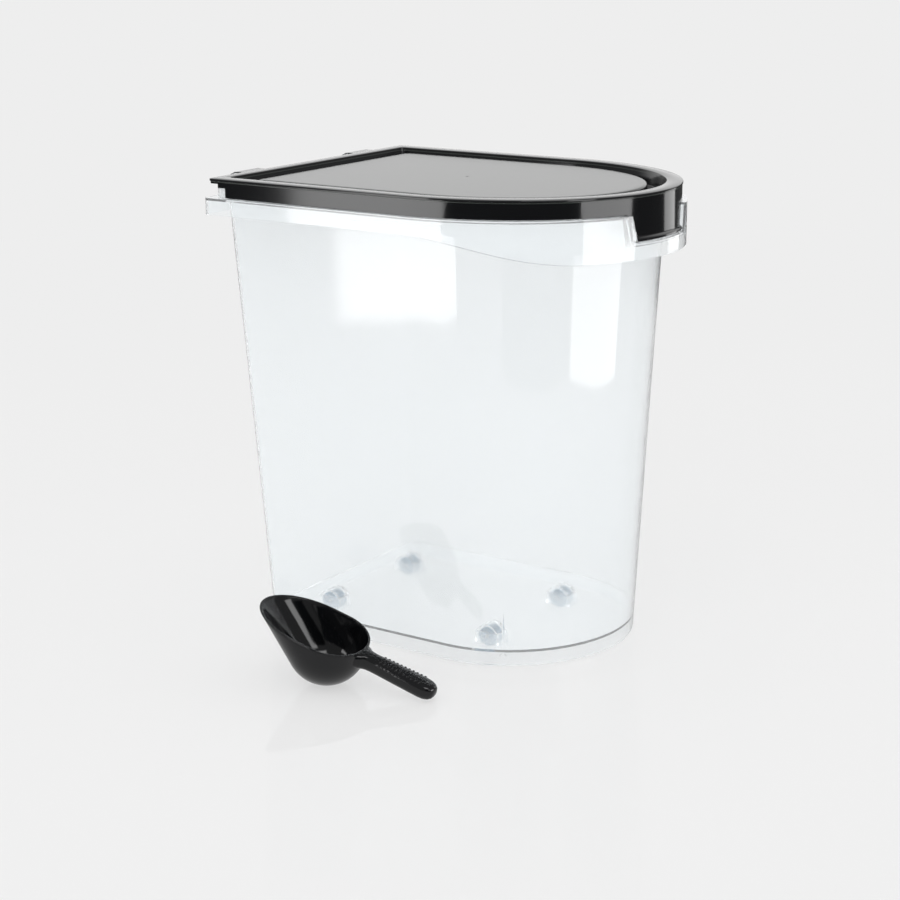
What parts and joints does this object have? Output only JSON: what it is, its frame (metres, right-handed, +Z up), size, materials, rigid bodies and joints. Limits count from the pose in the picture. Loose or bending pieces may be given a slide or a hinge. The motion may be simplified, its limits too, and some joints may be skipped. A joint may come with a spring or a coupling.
{
  "type": "wheeled pet food storage bin",
  "caption": "Tapering clear food bin with a D-shaped plan, a black hinged lid with a finger latch, small wheels under the base and a black scoop beside it.",
  "frame": {"origin": "on the floor, under the middle of the tub's base", "axes": "+X is the width, +Y points to the hinged back, -Y to the round nose, +Z up"},
  "size_m": [0.421, 0.4079, 0.4315],
  "materials": {
    "clear_plastic": "moulded clear polypropylene, glossy",
    "black_plastic": "moulded black polypropylene, glossy with a satin centre panel",
    "seal": "soft natural elastomer",
    "wheel_plastic": "moulded slate-blue plastic",
    "steel_pin": "drawn steel wire",
    "scoop_plastic": "moulded black polypropylene, glossy"
  },
  "bodies": {
    "bin": {"bin_body": "clear_plastic", "axle_front_left": "steel_pin", "axle_front_right": "steel_pin", "axle_back_left": "steel_pin", "axle_back_right": "steel_pin"},
    "lid": {"lid": "black_plastic", "lid_seal": "seal"},
    "wheel_front_left": {"wheel_front_left": "wheel_plastic"},
    "wheel_front_right": {"wheel_front_right": "wheel_plastic"},
    "wheel_back_left": {"wheel_back_left": "wheel_plastic"},
    "wheel_back_right": {"wheel_back_right": "wheel_plastic"},
    "scoop": {"scoop": "scoop_plastic"}
  },
  "joints": [
    {"name": "lid_hinge", "type": "hinge", "parent": "bin", "child": "lid", "pos_m": [0, 0.19912, 0.42632], "axis": [-1, 0, 0], "range_deg": [0, 240]},
    {"name": "wheel_front_left_spin", "type": "hinge", "parent": "bin", "child": "wheel_front_left", "pos_m": [-0.0645, -0.06, 0.01], "axis": [1, 0, 0], "continuous": true},
    {"name": "wheel_front_right_spin", "type": "hinge", "parent": "bin", "child": "wheel_front_right", "pos_m": [0.0645, -0.06, 0.01], "axis": [1, 0, 0], "continuous": true},
    {"name": "wheel_back_left_spin", "type": "hinge", "parent": "bin", "child": "wheel_back_left", "pos_m": [-0.0645, 0.123, 0.01], "axis": [1, 0, 0], "continuous": true},
    {"name": "wheel_back_right_spin", "type": "hinge", "parent": "bin", "child": "wheel_back_right", "pos_m": [0.0645, 0.123, 0.01], "axis": [1, 0, 0], "continuous": true},
    {"name": "scoop_lift", "type": "slide", "parent": "bin", "child": "scoop", "axis": [0, 0, 1], "range_m": [0, 0.25]}
  ]
}
